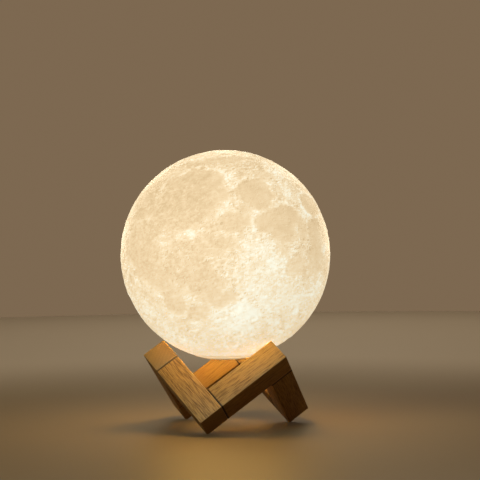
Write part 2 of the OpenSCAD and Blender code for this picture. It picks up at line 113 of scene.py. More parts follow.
def add_camera():
    data = bpy.data.cameras.new("camera")
    data.lens = CAMERA_LENS
    data.clip_start = CAMERA_CLIP
    camera = link("camera", data)
    axes = Matrix(turned_axes(AIM_AZIMUTH, AIM_ELEVATION, CAMERA_ROLL)).transposed()
    camera.matrix_world = axes.to_4x4()
    camera.location = GLOBE_CENTRE + outward(CAMERA_AZIMUTH, CAMERA_ELEVATION) * CAMERA_DISTANCE
    bpy.context.scene.camera = camera


# ---- Node trees ----

NUMBER_OPERATIONS = ("LENGTH", "DISTANCE", "DOT_PRODUCT")  # Vector Math that gives a number


def operator_pair(operation):
    """Plain and reflected method by which one of Python's operators adds a Math node."""

    def plain(self, other):
        return self.tree.maths(operation, self, other)

    def reflected(self, other):
        return self.tree.maths(operation, other, self)

    return plain, reflected


class Value:
    """An output of a node, which takes part in Python's sums."""

    def __init__(self, tree, socket):
        self.tree = tree
        self.socket = socket

    __add__, __radd__ = operator_pair("ADD")
    __sub__, __rsub__ = operator_pair("SUBTRACT")
    __mul__, __rmul__ = operator_pair("MULTIPLY")
    __truediv__, __rtruediv__ = operator_pair("DIVIDE")
    __pow__, __rpow__ = operator_pair("POWER")

    def __abs__(self):
        return self.tree.maths("ABSOLUTE", self)

    def bell(self, middle, width):
        """1 at the middle, and falling to nothing a few widths away."""
        off = (self - middle) / width
        return self.tree.maths("EXPONENT", off * off * -1.0)

    def step(self, low, high):
        """0 at low, 1 at high, and smooth in between."""
        settings = {"interpolation_type": "SMOOTHSTEP", "clamp": True}
        inputs = {0: self, 1: low, 2: high, 3: 0.0, 4: 1.0}
        return self.tree.add("ShaderNodeMapRange", settings, inputs)


class Tree:
    """A node tree that is being filled."""

    def __init__(self, tree):
        self.tree = tree

    def add(self, kind, settings=None, inputs=None, output=0):
        """Adds a node: its settings first, then the values or links of its sockets."""
        node = self.tree.nodes.new(kind)
        for name, value in (settings or {}).items():
            if name == "stops":
                set_stops(node.color_ramp.elements, value)
            else:
                setattr(node, name, value)
        for key, value in (inputs or {}).items():
            self.feed(named_socket(node.inputs, key), value)
        return Value(self, named_socket(node.outputs, output)) if len(node.outputs) else None

    def feed(self, socket, value):
        """Links a value to a socket, or sets the socket to a plain number, colour or the like."""
        if isinstance(value, Value):
            self.tree.links.new(value.socket, socket)
        else:
            socket.default_value = value

    def other(self, value, output):
        """Another output of the node that a value comes from."""
        return Value(self, named_socket(value.socket.node.outputs, output))

    def maths(self, operation, *inputs, clamp=False):
        settings = {"operation": operation, "use_clamp": clamp}
        return self.add("ShaderNodeMath", settings, dict(enumerate(inputs)))

    def vectors(self, operation, *inputs):
        """Vector Math, whose result is a number for some operations and else a vector."""
        output = "Value" if operation in NUMBER_OPERATIONS else "Vector"
        settings = {"operation": operation}
        return self.add("ShaderNodeVectorMath", settings, dict(enumerate(inputs)), output)

    def part(self, vector, axis):
        """One of a vector's three numbers, by its axis: X, Y or Z."""
        return self.add("ShaderNodeSeparateXYZ", {}, {0: vector}, axis)

    def noise(self, vector, scale, detail=2.0, roughness=0.5):
        """Noise about zero; its scale is cells to the metre, as one number or one for each axis."""
        if isinstance(scale, tuple):
            vector = self.vectors("MULTIPLY", vector, scale)
            scale = 1.0
        inputs = {"Vector": vector, "Scale": scale, "Detail": detail, "Roughness": roughness}
        return self.add("ShaderNodeTexNoise", {}, inputs) - 0.5

    def cells(self, vector, scale, feature="F1"):
        """Distance from the middle of a random cell, or by another feature from its edge."""
        inputs = {"Vector": vector, "Scale": scale}
        return self.add("ShaderNodeTexVoronoi", {"feature": feature}, inputs, "Distance")

    def mixed(self, share, first, second):
        """Colour between the first and the second; the share is held within 0 and 1."""
        first, second = (c if isinstance(c, Value) else rgba(c) for c in (first, second))
        settings = {"data_type": "RGBA", "clamp_factor": True}
        inputs = {"Factor": share, "A": first, "B": second}
        return self.add("ShaderNodeMix", settings, inputs, "Result")


def named_socket(sockets, key):
    """Socket by its number, or the first one in use that has that name."""
    if isinstance(key, int):
        return sockets[key]
    return next(s for s in sockets if s.name == key and s.enabled)


def set_stops(elements, stops):
    """Gives a colour ramp its stops: (place, colour) from low to high."""
    while len(elements) < len(stops):
        elements.new(1.0)
    for element, (place, colour) in zip(elements, stops):
        element.position = place
        element.color = rgba(colour)


def rgba(colour):
    return (*colour, 1.0)


class Finish(Tree):
    """A material with one Principled shader, whose sockets are set at the end."""

    def __init__(self, name):
        self.material = bpy.data.materials.new(name)
        self.material.use_nodes = True
        super().__init__(self.material.node_tree)
        self.shader = self.tree.nodes["Principled BSDF"]
        self.place = self.add("ShaderNodeTexCoord", {}, {}, "Object")

    def attribute(self, name, output="Fac"):
        return self.add("ShaderNodeAttribute", {"attribute_name": name}, {}, output)

    def bumped(self, height, depth, strength=1.0):
        inputs = {"Height": height, "Distance": depth, "Strength": strength}
        return self.add("ShaderNodeBump", {}, inputs, "Normal")

    def done(self, **sockets):
        """Sets the shader's sockets; an underscore in a name stands for a space."""
        for name, value in sockets.items():
            self.feed(self.shader.inputs[name.replace("_", " ")], value)
        return self.material


# ---- Map of the globe's surface ----

# The near side's middle faces this way, with its pole leaning to the left
MAP_AZIMUTH = math.radians(21.9)
MAP_ELEVATION = math.radians(4.7)
MAP_LEAN = math.radians(9.6)

# Seas: latitude, longitude, half height and half width in degrees of arc, how dark, how soft the
# shore is in degrees, and how bright the land is along it
SEAS = {
    "rain_sea": (34, -17, 17, 18, 1.0, 1.0, 0.8),
    "rain_sea_south": (19, -22, 8, 13, 0.9, 2.6, 0.0),
    "rainbow_bay": (44, -31, 5, 6, 1.0, 0.9, 0.8),
    "serene_sea": (26.5, 20, 10, 10, 1.0, 0.8, 0.7),
    "serene_strait": (18, 27, 3, 5, 0.35, 1.5, 0.0),
    "tranquil_sea_north": (9, 31, 7.5, 13, 1.0, 1.0, 0.55),
    "tranquil_sea_south": (3, 30, 6, 9, 1.0, 1.4, 0.3),
    "tranquil_bay": (9, 20, 5, 6, 0.8, 1.6, 0.0),
    "tranquil_strait": (3, 43, 6, 5, 0.75, 1.6, 0.0),
    "rough_bay": (-6, 27, 4, 4, 0.6, 1.5, 0.2),
    "crisis_sea": (17, 59, 6.5, 9, 1.0, 0.7, 1.0),
    "fertile_sea_north": (-2, 55, 10, 10, 1.0, 1.6, 0.1),
    "fertile_sea_south": (-14, 53, 8, 9, 0.85, 1.8, 0.1),
    "foaming_sea": (1, 70, 8, 8, 0.8, 1.8, 0.0),
    "nectar_sea": (-15.5, 35, 5.5, 6, 0.85, 1.5, 0.2),
    "old_plain": (-20, 66, 6, 6, 0.5, 2.0, 0.0),
    "cloud_sea": (-18, -17, 9, 9, 0.8, 2.6, 0.0),
    "cloud_sea_south": (-26, -12, 4.5, 8, 1.0, 0.9, 0.25),
    "cloud_marsh": (-31, -27, 5, 7, 1.0, 1.4, 0.1),
    "moist_sea": (-23.5, -40, 6, 6.5, 1.0, 1.0, 0.3),
    "known_sea": (-9, -22, 7, 9, 0.8, 2.6, 0.0),
    "known_sea_west": (-13, -37, 8, 9, 0.75, 3.0, 0.0),
    "known_sea_north": (-3, -33, 4, 8, 0.75, 2.6, 0.0),
    "storm_ocean_middle": (21, -50, 13, 13, 0.85, 3.2, 0.0),
    "storm_ocean_strait": (29, -37, 10, 7, 0.85, 3.0, 0.0),
    "storm_ocean_south": (3, -50, 12, 12, 1.0, 3.0, 0.0),
    "storm_ocean_west": (11, -61, 10, 9, 1.0, 2.4, 0.0),
    "storm_ocean_low": (-8, -46, 8, 9, 0.75, 3.0, 0.0),
    "storm_ocean_north": (38, -57, 10, 9, 0.75, 3.0, 0.0),
    "dew_bay": (50, -48, 5, 12, 0.55, 2.0, 0.0),
    "island_sea": (6, -31, 8, 9, 0.4, 3.0, 0.0),
    "vapour_sea": (12, 3, 4.5, 8, 0.95, 1.2, 0.25),
    "vapour_sea_east": (17, 11, 3, 4, 0.7, 1.4, 0.0),
    "middle_bay": (2, -4, 3.5, 8, 0.85, 1.6, 0.0),
    "heat_bay": (11, -9, 4, 4.5, 0.6, 2.0, 0.0),
    "inner_bay": (3, -13, 6, 8, 0.85, 2.2, 0.0),
    "cold_sea_west": (58, -26, 3.5, 9, 0.6, 1.6, 0.2),
    "cold_sea_middle": (58, -5, 3.5, 10, 0.8, 1.6, 0.2),
    "cold_sea_east": (55, 18, 3.5, 9, 0.6, 1.6, 0.2),
    "dream_lake": (38, 31, 4, 6, 0.7, 1.6, 0.0),
    "dark_floor_north": (51.6, -9.4, 1.6, 1.9, 1.0, 0.6, 0.4),
    "dark_floor_west": (-5.5, -68.3, 3, 2.6, 1.0, 0.8, 0.3),
    "dark_floor_north_east": (54, 57, 2, 2, 0.9, 0.8, 0.3),
    "east_edge_north": (57, 81, 4, 5, 0.7, 1.6, 0.0),
    "east_edge_middle": (13, 87, 6, 6, 0.7, 1.8, 0.0),
    "east_edge_south": (-2, 87, 6, 5, 0.8, 1.6, 0.2),
    "wave_sea": (7, 69, 2.5, 3, 0.8, 1.4, 0.0),
    "far_west_basin": (-19, -93, 6, 6, 0.9, 1.2, 0.7),
    "far_north_sea": (27, 148, 5, 7, 0.9, 1.2, 0.5),
    "far_south_sea": (-34, 164, 5, 7, 0.7, 1.6, 0.3),
    "far_south_basin": (-50, -165, 20, 22, 0.45, 7.0, 0.0),
}

# Bright uplands, or dull ones below zero: latitude, longitude, half height, half width, strength
UPLANDS = [
    (-1, 8, 6, 6, 0.8), (-10, 22, 8, 6, 0.8), (-5, 13, 6, 8, 0.5), (-38, -1, 10, 13, 0.75),
    (-22, 8, 12, 12, 0.4), (37, 9, 4, 4, 0.5), (22, 1, 3, 4, 0.7), (11.5, -26, 2.5, 9, 0.6),
    (38, 47, 8, 11, 0.8), (9.5, 12.5, 4, 2.5, 0.6), (-19, 24, 6, 5, 0.4), (-33, 24, 13, 18, 0.5),
    (25, 41, 5, 6, 0.6), (18.5, 33, 2.5, 5, 0.5), (12, 51, 5, 4, 0.8), (-29, 57, 5, 8, 0.5),
    (-24, -65, 5, 5, 0.6), (-32, -58, 5, 5, 0.5), (-56, 82, 14, 16, -0.35), (20, 110, 14, 18, 0.3),
    (10, -150, 20, 25, 0.25),
]

# Ray craters: latitude, longitude, halo radius, ray length, strength, rays to the full turn
RAY_CRATERS = [
    (-43.3, -11.2, 6, 20, 0.6, 9), (9.6, -20.1, 2.4, 12, 0.7, 8), (8.1, -38, 1.8, 7, 0.75, 8),
    (23.7, -47.4, 1.8, 6, 0.9, 6), (16.1, 46.8, 1.6, 6, 0.7, 7), (-8.9, 61, 2.5, 6, 0.5, 7),
    (16.3, 16, 1.1, 3, 0.6, 5), (14.5, 9, 1.2, 2, 0.5, 5), (2.8, 17.3, 1.1, 3, 0.6, 5),
    (-11.4, 26.4, 2.0, 4, 0.4, 6), (-32.5, 54, 1.8, 6, 0.6, 6), (-15.4, -3, 1.4, 3, 0.3, 5),
    (73, -10, 2.5, 14, 0.5, 7), (-20, 150, 4, 16, 0.6, 8), (36, -130, 3, 12, 0.6, 7),
    (5, 112, 3, 14, 0.6, 9),
]

# Large craters that can be told apart: latitude, longitude, radius in degrees
LARGE_CRATERS = [
    (-43.3, -11.2, 1.5), (9.6, -20.1, 1.6), (14.5, -11.3, 1.0), (29.7, -4, 1.4), (33.9, 1.5, 0.9),
    (50.2, 17.4, 1.5), (44.3, 16.3, 1.1), (46.7, 44.4, 1.4), (46.7, 39.1, 1.1), (31.8, 29.9, 1.6),
    (-11.4, 26.4, 1.7), (-13.2, 24, 1.6), (-18, 23.4, 1.7), (-21.2, 33, 2.0), (-9.2, -1.8, 2.5),
    (-13.4, -2.8, 1.9), (-18.2, -1.9, 1.6), (-25.5, -2, 1.8), (-33, 1, 2.2), (-33, -5.5, 3.4),
    (-58.4, -14.4, 3.7), (-50, -6.3, 2.7), (-49.6, -21.8, 2.4), (-25.3, 60.4, 2.9),
    (-8.9, 61, 2.1), (-16.4, 61.6, 2.2), (-36, 60.4, 2.1), (-45, 41.5, 3.2), (-42, 14, 1.9),
    (-41.1, 6, 2.1), (-17.6, -39.9, 1.8), (-29.9, -39.2, 1.0), (-44.4, -55.2, 3.4),
    (-51.8, -39, 2.2), (21.3, 46, 1.1), (27.7, 56, 2.0), (34.5, 56.7, 1.4), (39.2, 60.5, 2.0),
    (-5.5, 5, 2.3), (-11.2, 4, 2.1), (-29.7, 32.2, 1.5), (-34.5, 14, 1.5), (-35.6, 24, 1.3),
    (-28, 14, 1.4), (60, -74, 1.6), (-20, 100, 3.0), (40, 120, 2.6), (5, 140, 2.8),
    (-45, 130, 3.2), (15, -120, 3.0), (-10, -150, 3.6), (50, -160, 2.8), (-30, -120, 2.4),
    (25, 175, 2.6), (60, 110, 2.2), (-60, 90, 2.8), (-5, -110, 2.0),
]

# Edge of a crater: where its rim lies and how wide it is, as shares of the crater's radius
RIM_PLACE = 1.05
RIM_WIDTH = 0.22

# Large craters: rim height, bowl depth and the sloping stretch of the wall, as shares of the radius
LARGE_RIM = 0.05
LARGE_DEPTH = 0.09
LARGE_WALL = (0.55, 1.0)

# Shores: how far they wander, in degrees and as a share of a small sea's height, and how far
# outside a sea's soft edge the bright land lies
SHORE_WANDER = 2.4
SHORE_WANDER_SHARE = 0.35
SHORE_OFFSET = 0.5

# Waves round a ray crater that add up to its rays: strength, how many to each ray, how many
# more, and how far they turn from one crater to the next
RAY_WAVES = ((1.0, 1, 0, 1.0), (0.7, 2, -3, 2.1), (0.5, 3, 2, -1.3))
RAY_FULL = 1.6  # sum of the waves at which a ray is full
RAY_SHARE = 0.6  # brightness of a ray as a share of its crater's halo


def map_axes():
    """East, north and near-side directions of the globe's map."""
    return [np.array(axis) for axis in turned_axes(MAP_AZIMUTH, MAP_ELEVATION, MAP_LEAN)]


def map_direction(latitude, longitude):
    east, north, facing = map_axes()
    level = math.cos(math.radians(latitude))
    turn = math.radians(longitude)
    across = east * math.sin(turn) + facing * math.cos(turn)
    return across * level + north * math.sin(math.radians(latitude))


def map_offsets(directions, latitude, longitude):
    """Arcs in degrees from a place on the map: northward and eastward."""
    east, north, facing = map_axes()
    north_off = np.degrees(np.arcsin(np.clip(directions @ north, -1, 1))) - latitude
    around = np.degrees(np.arctan2(directions @ east, directions @ facing))
    east_off = (around - longitude + 180) % 360 - 180
    return north_off, east_off * math.cos(math.radians(latitude))


def arcs_from(directions, middle):
    """Arcs in degrees between those directions and one."""
    return np.degrees(np.arccos(np.clip(directions @ middle, -1, 1)))


def smooth(values, low, high):
    """0 at low, 1 at high, and smooth in between."""
    share = np.clip((values - low) / (high - low), 0, 1)
    return share * share * (3 - 2 * share)


def sea_fields(directions, ragged):
    """How dark the seas are, from 0 on land to 1, and how bright their shores are."""
    land = np.ones(len(directions))
    shores = np.zeros(len(directions))
    for latitude, longitude, half_height, half_width, dark, soft, shore in SEAS.values():
        north_off, east_off = map_offsets(directions, latitude, longitude)
        reach = 1 - np.hypot(north_off / half_height, east_off / half_width)
        wander = min(SHORE_WANDER, SHORE_WANDER_SHARE * half_height)
        inside = reach * min(half_height, half_width) + ragged * wander
        land *= 1 - dark * smooth(inside, -soft, soft)
        shores = np.maximum(shores, shore * np.exp(-((inside + soft + SHORE_OFFSET) ** 2)))
    return 1 - land, shores * land


def upland_field(directions):
    glow = np.zeros(len(directions))
    for latitude, longitude, half_height, half_width, strength in UPLANDS:
        north_off, east_off = map_offsets(directions, latitude, longitude)
        off = (north_off / half_height) ** 2 + (east_off / half_width) ** 2
        glow += strength * np.exp(-off)
    return glow


def ray_field(directions):
    """Brightness of the ray craters: a halo, and rays that thin out with the distance."""
    north = map_axes()[1]
    glow = np.zeros(len(directions))
    for number, (latitude, longitude, halo, length, strength, rays) in enumerate(RAY_CRATERS):
        middle = map_direction(latitude, longitude)
        side = np.cross(north, middle)
        side /= np.linalg.norm(side)
        up = np.cross(middle, side)
        apart = arcs_from(directions, middle)
        bearing = np.arctan2(directions @ side, directions @ up)
        comb = sum(
            wave * np.cos(bearing * (times * rays + more) + turn * number)
            for wave, times, more, turn in RAY_WAVES
        )
        streaks = np.clip(comb / RAY_FULL, 0, 1) * np.exp(-apart / length)
        glow += strength * np.exp(-((apart / halo) ** 2))
        glow += RAY_SHARE * strength * streaks * (1 - np.exp(-apart / halo))
    return glow


def crater_fields(directions):
    """Height of the large craters in metres, and how near each point is to a rim, up to 1."""
    height = np.zeros(len(directions))
    rims = np.zeros(len(directions))
    for latitude, longitude, radius in LARGE_CRATERS:
        share = arcs_from(directions, map_direction(latitude, longitude)) / radius
        rim = np.exp(-(((share - RIM_PLACE) / RIM_WIDTH) ** 2))
        bowl = 1 - smooth(share, *LARGE_WALL)
        height += (LARGE_RIM * rim - LARGE_DEPTH * bowl) * math.radians(radius) * GLOBE_R
        rims = np.maximum(rims, rim)
    return height, rims


# ---- Globe ----

BALL_STEPS = 112  # cells along a side of each of the six patches
SEA_DEPTH = 0.28 * MM
ROUGHNESS_HEIGHT = 0.22 * MM
RELIEF_TOP = 0.10 * MM
NECK_FADE = 7 * MM  # height over the seat in which the relief grows
GLOW_START = (SEAT_Z - 0.2 * MM, SEAT_Z + 1.0 * MM)  # heights between which the glow sets in
NECK_R = 20 * MM
COLLAR_R = 22 * MM
COLLAR_H = 11 * MM
WALL = 2 * MM
INNER_RINGS = 26
GLOBE_CREASE = math.radians(50)

# Fields of scattered craters: how far apart their middles are, their smallest and largest
# radius, and their depth and rim height as shares of the radius
CRATER_FIELDS = [
    {"Seed": seed, "Spacing": spacing * MM, "Smallest radius": smallest * MM,
     "Largest radius": largest * MM, "Depth": 0.09, "Rim": 0.04}
    for seed, spacing, smallest, largest in ((4, 12, 2.0, 4.4), (9, 5.2, 0.9, 2.1))
]
LUCK_SEED = 7.0  # what is added to a field's seed for the draw of its bright craters


def ball_mesh(name, steps, radius, centre):
    """Ball of six even square patches, welded into one skin."""
    lines = np.tan(np.linspace(-math.pi / 4, math.pi / 4, steps + 1))
    across, up = np.meshgrid(lines, lines)
    corners = []
    quads = []
    first = np.arange(steps)
    cell = (first[:, None] * (steps + 1) + first[None, :]).ravel()
    for axis in range(3):
        for side in (-1, 1):
            patch = np.empty((steps + 1, steps + 1, 3))
            patch[..., axis] = side
            patch[..., (axis + 1) % 3] = across * side
            patch[..., (axis + 2) % 3] = up
            start = len(corners) * (steps + 1) ** 2
            corners.append(patch.reshape(-1, 3))
            quad = np.stack([cell, cell + 1, cell + steps + 2, cell + steps + 1], axis=1)
            quads.append(start + quad)
    points = np.concatenate(corners)
    points /= np.linalg.norm(points, axis=1, keepdims=True)
    points, kept = np.unique(np.round(points, 7), axis=0, return_inverse=True)
    faces = kept.ravel()[np.concatenate(quads)]
    mesh = bpy.data.meshes.new(name)
    mesh.from_pydata((points * radius + np.array(centre)).tolist(), [], faces.tolist())
    return mesh


def mesh_points(mesh):
    points = np.empty(len(mesh.vertices) * 3)
    mesh.vertices.foreach_get("co", points)
    return points.reshape(-1, 3)


def store(mesh, name, values):
    attribute = mesh.attributes.new(name, "FLOAT", "POINT")
    attribute.data.foreach_set("value", np.asarray(values, dtype=np.float32))


def fractal(directions, scale, octaves, fineness):
    """Fractal noise from about -1 to 1 over the ball; fineness 1 is soft, and 0.4 is rough."""
    return np.array([noise.fractal(Vector(d) * scale, fineness, 2.1, octaves) for d in directions])


def crater_tree():
    """Geometry Nodes that press a field of craters into the globe's skin."""
    group = bpy.data.node_groups.new("crater field", "GeometryNodeTree")
    sizes = ("Spacing", "Smallest radius", "Largest radius", "Depth", "Rim")
    inputs = {"Geometry": "Geometry", **dict.fromkeys(sizes, "Float")}
    inputs |= {"Seed": "Int", "Centre": "Vector", "Skin": "Material"}
    for name, kind in inputs.items():
        group.interface.new_socket(name, in_out="INPUT", socket_type="NodeSocket" + kind)
    group.interface.new_socket("Geometry", in_out="OUTPUT", socket_type="NodeSocketGeometry")
    tree = Tree(group)
    skin = tree.add("NodeGroupInput", {}, {}, "Geometry")
    given = {name: tree.other(skin, name) for name in inputs}
    spacing, seed = given["Spacing"], given["Seed"]
    middles = tree.add(
        "GeometryNodeDistributePointsOnFaces",
        {"distribute_method": "POISSON"},
        {"Mesh": skin, "Distance Min": spacing, "Density Max": spacing ** -2.0 * 5.0, "Seed": seed},
    )
    position = tree.add("GeometryNodeInputPosition")
    nearest = tree.add("GeometryNodeSampleNearest", {"domain": "POINT"}, {"Geometry": middles})

    def drawn(lot):
        """A number from 0 to 1 that is drawn for each crater; the lot is a seed."""
        limits = {"Min": 0.0, "Max": 1.0, "Seed": lot}
        return tree.add("FunctionNodeRandomValue", {"data_type": "FLOAT"}, limits, "Value")

    def of_nearest(value, kind="FLOAT"):
        """A value that belongs to the nearest crater."""
        sample = {"Geometry": middles, "Value": value, "Index": nearest}
        return tree.add("GeometryNodeSampleIndex", {"data_type": kind}, sample)

    def stored(name):
        """A number that the mesh carries at each point."""
        settings = {"data_type": "FLOAT"}
        return tree.add("GeometryNodeInputNamedAttribute", settings, {"Name": name}, "Attribute")

    smallest, largest = given["Smallest radius"], given["Largest radius"]
    radius = of_nearest(smallest + (largest - smallest) * drawn(seed) ** 2.0)
    middle = of_nearest(position, "FLOAT_VECTOR")
    share = tree.vectors("DISTANCE", position, middle) / radius
    bowl = 1.0 - tree.maths("MINIMUM", share, 1.0) ** 2.0
    rim = share.bell(RIM_PLACE, RIM_WIDTH)
    pitted = stored("pitted")
    height = radius * (given["Rim"] * rim - given["Depth"] * bowl) * pitted
    outwards = tree.vectors("NORMALIZE", tree.vectors("SUBTRACT", position, given["Centre"]))
    scaled = {0: outwards, "Scale": height}
    shift = tree.add("ShaderNodeVectorMath", {"operation": "SCALE"}, scaled)
    moved = tree.add("GeometryNodeSetPosition", {}, {"Geometry": skin, "Offset": shift})
    halo = of_nearest(drawn(seed + LUCK_SEED)).step(0.80, 0.97) * share.bell(0.0, 1.1) * pitted
    fresh = tree.maths("MAXIMUM", stored("fresh"), halo)
    marked = tree.add(
        "GeometryNodeStoreNamedAttribute",
        {"data_type": "FLOAT", "domain": "POINT"},
        {"Geometry": moved, "Name": "fresh", "Value": fresh},
    )
    whole = tree.add("GeometryNodeRealizeInstances", {}, {"Geometry": marked})
    finish = {"Geometry": whole, "Material": given["Skin"]}
    tree.add("NodeGroupOutput", {}, {"Geometry": tree.add("GeometryNodeSetMaterial", {}, finish)})
    return group


def press_craters(ball, group, settings):
    """Adds one field of craters to the ball as a modifier with those settings."""
    modifier = ball.modifiers.new("craters", "NODES")
    modifier.node_group = group
    for item in group.interface.items_tree:
        if item.in_out == "INPUT" and item.name in settings:
            modifier[item.identifier] = settings[item.name]


def made_plain(obj):
    """Turns an object with modifiers into a plain mesh."""
    depsgraph = bpy.context.evaluated_depsgraph_get()
    mesh = bpy.data.meshes.new_from_object(
        obj.evaluated_get(depsgraph), preserve_all_data_layers=True, depsgraph=depsgraph
    )
    obj.modifiers.clear()
    obj.data = mesh


def pour(bm, mesh):
    """Writes what was built to a mesh."""
    bm.to_mesh(mesh)
    bm.free()
    return mesh


def opened_below(bm, height):
    """Cuts off what lies below that height, and gives the edges of the opening."""
    parts = bm.verts[:] + bm.edges[:] + bm.faces[:]
    plane = {"plane_co": (0, 0, height), "plane_no": (0, 0, 1)}
    bmesh.ops.bisect_plane(bm, geom=parts, clear_inner=True, **plane)
    return [e for e in bm.edges if e.is_boundary]


def close_neck(mesh):
    """Cuts the ball at the seat, and adds the seat, the neck, the collar and the inner wall."""
    bm = bmesh.new()
    bm.from_mesh(mesh)
    edges = opened_below(bm, SEAT_Z)
    inner_r = GLOBE_R - WALL
    lowest = math.asin(COLLAR_R / inner_r)
    turns = [lowest + (math.pi - lowest) * i / INNER_RINGS for i in range(INNER_RINGS)]
    inner_wall = [(inner_r * math.sin(t), GLOBE_CENTRE.z - inner_r * math.cos(t)) for t in turns]
    neck = [(NECK_R, SEAT_Z), (NECK_R, SEAT_Z + COLLAR_H), (COLLAR_R, SEAT_Z + COLLAR_H)]
    ring = []
    for radius, height in neck + inner_wall:
        made = bmesh.ops.extrude_edge_only(bm, edges=edges)["geom"]
        ring = [v for v in made if isinstance(v, bmesh.types.BMVert)]
        edges = [e for e in made if isinstance(e, bmesh.types.BMEdge) and e.is_boundary]
        for v in ring:
            angle = math.atan2(v.co.y, v.co.x)
            v.co = (radius * math.cos(angle), radius * math.sin(angle), height)
    bmesh.ops.pointmerge(bm, verts=ring, merge_co=(0, 0, GLOBE_CENTRE.z + inner_r))
    bmesh.ops.recalc_face_normals(bm, faces=bm.faces)
    pour(bm, mesh)


def hill_shade(mesh):
    """How far each slope of the relief leans towards the map's north-west: painted shade of the
    relief, as if lit from there.
    """
    east, north, _ = map_axes()
    normals = np.empty(len(mesh.vertices) * 3)
    mesh.vertices.foreach_get("normal", normals)
    directions = mesh_points(mesh) - np.array(GLOBE_CENTRE)
    directions /= np.linalg.norm(directions, axis=1, keepdims=True)
    return (normals.reshape(-1, 3) - directions) @ (north - east) / math.sqrt(2)


def shape_surface(mesh):
    """Presses the seas, the roughness and the large craters into the ball, and stores the
    fields that the skin's finish and the scattered craters read."""
    points = mesh_points(mesh)
    directions = (points - np.array(GLOBE_CENTRE)) / GLOBE_R
    ragged = fractal(directions, 6, 7, 0.55)
    mare, shores = sea_fields(directions, ragged)
    rough = fractal(directions, 16, 7, 0.8)
    pressed, rims = crater_fields(directions)
    grown = smooth(points[:, 2], SEAT_Z, SEAT_Z + NECK_FADE)
    relief = ROUGHNESS_HEIGHT * rough * (1 - 0.75 * mare) - SEA_DEPTH * mare
    relief += pressed * (1 - 0.5 * mare)
    relief = np.minimum(relief - ROUGHNESS_HEIGHT * 0.6, RELIEF_TOP) * grown
    uplands = upland_field(directions) * (1 - 0.5 * mare)
    store(mesh, "mare", mare)
    store(mesh, "upland", uplands + shores * (0.8 + 0.6 * ragged) + 0.25 * rims)
    store(mesh, "rays", ray_field(directions))
    store(mesh, "fresh", np.zeros(len(points)))
    store(mesh, "pitted", (1 - 0.8 * mare) * grown)
    store(mesh, "lit", smooth(points[:, 2], *GLOW_START))
    mesh.vertices.foreach_set("co", (points + directions * relief[:, None]).ravel())


def build_globe():
    globe = link("printed_globe", ball_mesh("printed_globe", BALL_STEPS, GLOBE_R, GLOBE_CENTRE))
    shape_surface(globe.data)
    group = crater_tree()
    skin = moon_skin()
    for field in CRATER_FIELDS:
        press_craters(globe, group, {**field, "Centre": GLOBE_CENTRE, "Skin": skin})
    made_plain(globe)
    # Painted shade of the relief, as if lit from the map's north-west
    store(globe.data, "hill", hill_shade(globe.data))
    close_neck(globe.data)
    globe.data.shade_smooth()
    globe.data.set_sharp_from_angle(angle=GLOBE_CREASE)
    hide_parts("moon_shell")
    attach(globe, "globe")


# Step towards the map's north-west, by which the fine relief is compared with itself to paint its
# shading as if lit from there
LIGHT_SHIFT = (-0.25 * MM, 0.25 * MM, 0.0)

# Glow of the skin from its darkest to its brightest place, and at the seat
GLOW_STOPS = [
    (0.0, (0.56, 0.41, 0.22)),
    (0.25, (0.71, 0.545, 0.325)),
    (0.5, (0.795, 0.66, 0.435)),
    (0.75, (0.82, 0.755, 0.57)),
    (1.0, (0.85, 0.86, 0.725)),
]
SEAT_GLOW = (0.30, 0.22, 0.12)

# Colour of the print itself, where it is thick and where it is thin
PRINT_DARK = (0.42, 0.37, 0.30)
PRINT_PALE = (0.56, 0.53, 0.47)

# Cells to the metre of the skin's noises; those of three numbers are drawn out along the
# parallels, and the print's layers along the level
SHORE_CELLS = 150
MOTTLE_CELLS = 90
PATCH_CELLS = (330, 528, 330)
GRIT_CELLS = (330, 726, 330)
CREASE_CELLS = (150, 330, 150)
LAYER_CELLS = (40, 40, 1600)
LARGE_PIT_CELLS = 240
SMALL_PIT_CELLS = 430

# How far east of the map's middle the stronger mottling of the western seas wears off: from, to
WEST_FADE = (-0.3 * GLOBE_R, 0.2 * GLOBE_R)


def pit_height(skin, place, scale):
    """Height of a field of small round pits: a floor below and a rim above."""
    cell = skin.cells(place, scale)
    chance = skin.add("ShaderNodeSeparateColor", {}, {0: skin.other(cell, "Color")}, "Red")
    share = cell / (0.10 + chance * 0.28)
    return share.bell(RIM_PLACE, 0.3) * 0.5 - share.bell(0.0, 0.7)


def fine_height(skin, place):
    """Fine relief of the land: pits of two sizes, and grit."""
    pits = pit_height(skin, place, LARGE_PIT_CELLS) * 0.7
    pits = pits + pit_height(skin, place, SMALL_PIT_CELLS) * 0.6
    return skin.noise(place, GRIT_CELLS, 4, 0.7) * 1.7 + pits


